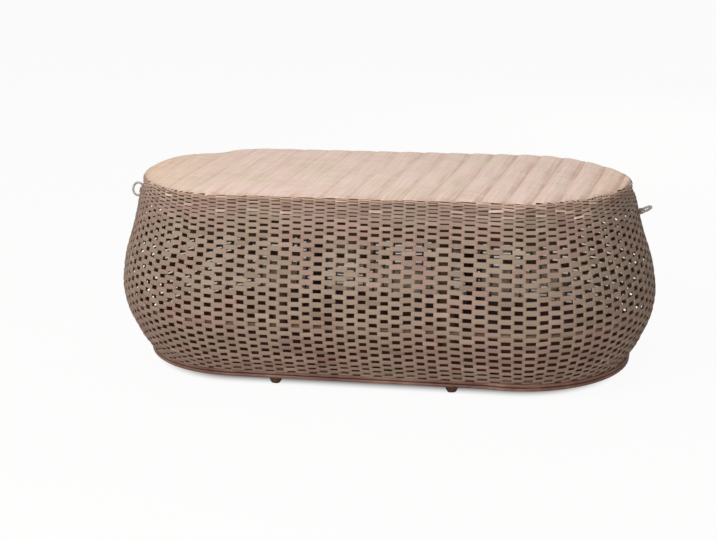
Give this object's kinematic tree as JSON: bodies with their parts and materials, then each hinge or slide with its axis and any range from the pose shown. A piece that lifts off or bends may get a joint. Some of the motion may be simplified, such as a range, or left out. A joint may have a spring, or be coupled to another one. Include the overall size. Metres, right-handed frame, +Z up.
{
  "type": "woven coffee table",
  "caption": "Low oval table with a bulging openwork basket body, a tightly woven ribbed top, a hidden wooden stand on splayed legs, and a cord loop at each end.",
  "frame": {"origin": "on the floor under the middle of the body", "axes": "+X along the length towards the right-hand end seen from the front, +Y towards the back, +Z up"},
  "size_m": [1.1996, 0.5898, 0.428],
  "materials": {
    "woven_wall": "dry flat palm strip, greyish pink-brown, matt",
    "woven_top": "pale pinkish cream woven strip, matt",
    "cane": "brown cane, low sheen",
    "stand_wood": "dark brown stained wood, satin",
    "dark_slat": "very dark brown stained board, matt",
    "loop_cord": "pale grey twisted cord, matt"
  },
  "bodies": {
    "table": {"woven_wall": "woven_wall", "woven_top": "woven_top", "shoulder_hoop": "cane", "mid_hoop": "cane", "foot_hoop": "cane", "rim_cane_lower": "cane", "rim_cane_upper": "cane", "rim_lashing": "cane", "loop_keeper_left": "cane", "loop_keeper_right": "cane", "leg_front_left": "stand_wood", "leg_front_right": "stand_wood", "leg_rear_left": "stand_wood", "leg_rear_right": "stand_wood", "leg_peg_front_left": "stand_wood", "leg_peg_front_right": "stand_wood", "leg_peg_rear_left": "stand_wood", "leg_peg_rear_right": "stand_wood", "cross_rail_left": "stand_wood", "cross_rail_right": "stand_wood", "long_rail_front": "stand_wood", "long_rail_rear": "stand_wood", "deck_bearer_1": "stand_wood", "deck_bearer_2": "stand_wood", "deck_bearer_3": "stand_wood", "deck_bearer_4": "stand_wood", "deck_bearer_5": "stand_wood", "deck_board_1": "stand_wood", "deck_board_2": "stand_wood", "deck_board_3": "stand_wood", "deck_board_4": "stand_wood", "deck_board_5": "stand_wood", "base_rail_left": "stand_wood", "base_rail_right": "stand_wood", "base_bearer_left": "stand_wood", "base_bearer_middle": "stand_wood", "base_bearer_right": "stand_wood", "base_slat_1": "dark_slat", "base_slat_2": "dark_slat", "base_slat_3": "dark_slat", "base_slat_4": "dark_slat", "base_slat_5": "dark_slat", "base_slat_6": "dark_slat", "base_slat_7": "dark_slat"},
    "left_loop": {"loop_left": "loop_cord"},
    "right_loop": {"loop_right": "loop_cord"}
  },
  "joints": [
    {"name": "left_loop_swing", "type": "hinge", "parent": "table", "child": "left_loop", "pos_m": [-0.56124, 0, 0.36956], "axis": [0.2698, 0, 0.9629], "range_deg": [-75, 75]},
    {"name": "right_loop_swing", "type": "hinge", "parent": "table", "child": "right_loop", "pos_m": [0.56421, 0, 0.35731], "axis": [0, 1, 0], "range_deg": [-60, 95]}
  ]
}
